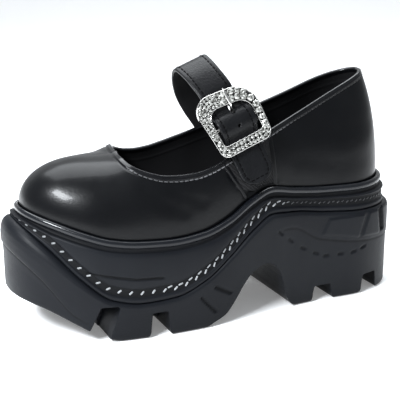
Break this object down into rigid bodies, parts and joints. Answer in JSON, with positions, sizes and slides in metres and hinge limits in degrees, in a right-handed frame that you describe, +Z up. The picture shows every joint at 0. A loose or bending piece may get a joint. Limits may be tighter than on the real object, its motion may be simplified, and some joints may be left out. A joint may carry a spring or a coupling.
{
  "type": "platform mary jane shoe",
  "caption": "Women's left platform Mary Jane in black leather with a chunky lugged rubber sole, one strap and a stone-set buckle.",
  "frame": {"origin": "middle of the shoe's length and width on the floor it stands on", "axes": "+X from the toe to the heel, +Y towards the inner side of the foot, +Z up"},
  "size_m": [0.267, 0.1008, 0.1617],
  "materials": {
    "sole_rubber": "matt moulded, slightly darker in the grooves",
    "upper_leather": "smooth polished black with a soft sheen",
    "elastic_fabric": "ribbed black elastic",
    "buckle_metal": "bright plated metal set with clear stones",
    "lining_fabric": "matt black lining and sock"
  },
  "bodies": {
    "root": {"outsole": "sole_rubber", "midsole": "sole_rubber", "upper": "upper_leather", "gore": "elastic_fabric", "strap": "upper_leather", "buckle_frame": "buckle_metal", "buckle_prong": "buckle_metal", "insole": "lining_fabric"}
  },
  "joints": []
}
